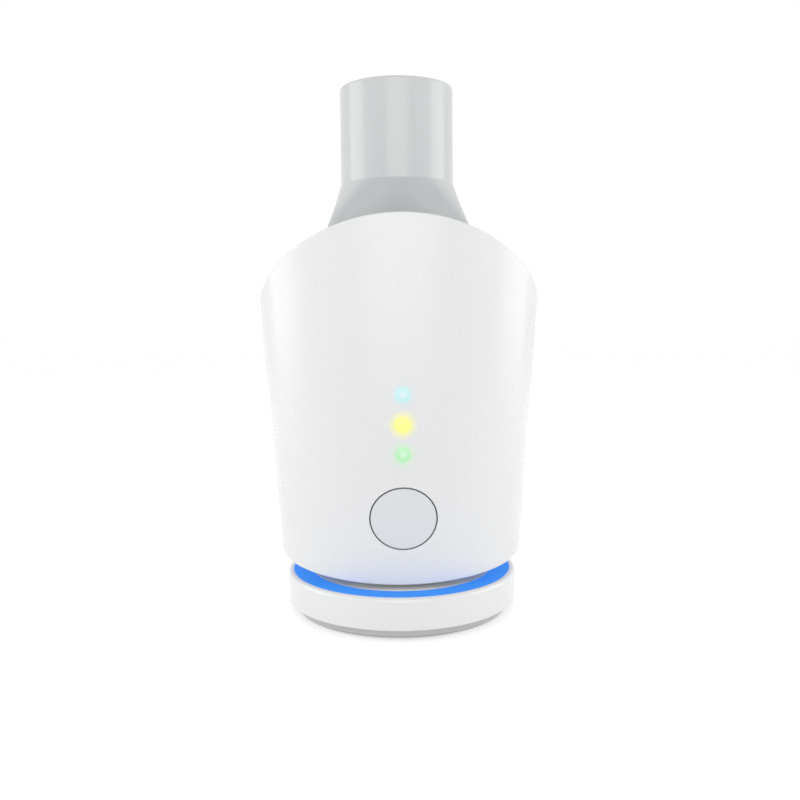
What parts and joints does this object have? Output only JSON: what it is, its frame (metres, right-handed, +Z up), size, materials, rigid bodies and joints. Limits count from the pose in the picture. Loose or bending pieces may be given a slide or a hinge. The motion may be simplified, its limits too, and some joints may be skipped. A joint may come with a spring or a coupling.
{
  "type": "handheld spirometer",
  "caption": "Tapered white handheld spirometer with an upright grey mouthpiece tube, signal lamps and a button, docked on a round wireless charging pad with a light ring.",
  "frame": {"origin": "centre of the charging pad's underside, on the surface it stands on", "axes": "+Z up along the handset, +Y to the back, where the pad's cable leaves, so the lamps and the button face -Y"},
  "size_m": [0.0823, 0.1628, 0.1379],
  "materials": {
    "shell_white": "satin gloss moulded plastic",
    "cover_grey": "pale grey moulded plastic",
    "tube_grey": "pale grey satin plastic",
    "base_white": "fine matte texture",
    "foot_grey": "pale grey soft plastic",
    "seal_grey": "silicone rubber",
    "button_white": "satin, faintly bluish white",
    "gasket_dark": "dark silicone rubber",
    "lamp_cyan": "diffusing light pipe, lit",
    "lamp_yellow": "diffusing light pipe, lit",
    "lamp_green": "diffusing light pipe, lit",
    "chip_pale": "moulded lamp chips",
    "board_green": "solder resist",
    "switch_black": "moulded switch",
    "cell_silver": "pouch cell film",
    "copper": "enamelled wire",
    "ferrite": "sintered ferrite sheet",
    "duct_pale": "translucent moulding",
    "transducer_metal": "drawn can",
    "cap_black": "moulded cap",
    "screw_steel": "plated screws",
    "pad_white": "satin gloss moulded plastic",
    "ring_blue": "diffusing light ring, lit",
    "disc_grey": "soft-touch disc",
    "pad_grey": "grey moulded base",
    "pad_rubber": "anti-slip rubber",
    "cable_white": "soft white jacket",
    "plug_white": "overmoulded plug",
    "socket_steel": "plated inlet shell"
  },
  "bodies": {
    "pad": {"pad_housing": "pad_white", "pad_ring": "ring_blue", "pad_disc": "disc_grey", "pad_base": "pad_grey", "pad_foot_ring": "pad_rubber", "pad_screws": "screw_steel", "pad_board": "board_green", "ring_leds": "chip_pale", "transmitter_coil": "copper", "transmitter_ferrite": "ferrite", "usb_socket": "socket_steel", "cable_plug": "plug_white", "cable": "cable_white", "cable_coil": "cable_white", "usb_plug": "plug_white"},
    "handset": {"front_shell": "shell_white", "rear_shell": "shell_white", "top_cover": "cover_grey", "base_plate": "base_white", "base_foot": "foot_grey", "receiver_coil": "copper", "receiver_ferrite": "ferrite", "flow_duct": "duct_pale", "transducer_lower": "transducer_metal", "transducer_upper": "transducer_metal", "transducer_seals": "gasket_dark", "transducer_caps": "cap_black", "button_gasket": "gasket_dark", "button_switch": "switch_black", "lamp_lens_cyan": "lamp_cyan", "lamp_lens_yellow": "lamp_yellow", "lamp_lens_green": "lamp_green", "lamp_chips": "chip_pale", "main_board": "board_green", "board_parts": "switch_black", "battery": "cell_silver", "case_screws": "screw_steel", "board_screws": "screw_steel"},
    "mouthpiece": {"mouthpiece": "tube_grey", "mouthpiece_seal": "seal_grey"},
    "button": {"button_cap": "button_white"}
  },
  "joints": [
    {"name": "handset_lift", "type": "slide", "parent": "pad", "child": "handset", "axis": [0, 0, 1], "range_m": [0, 0.04]},
    {"name": "mouthpiece_pull", "type": "slide", "parent": "handset", "child": "mouthpiece", "axis": [0, 0, 1], "range_m": [0, 0.03]},
    {"name": "button_press", "type": "slide", "parent": "handset", "child": "button", "axis": [0, 1, 0], "range_m": [0, 0.0008], "stiffness_N_per_m": 1500}
  ]
}
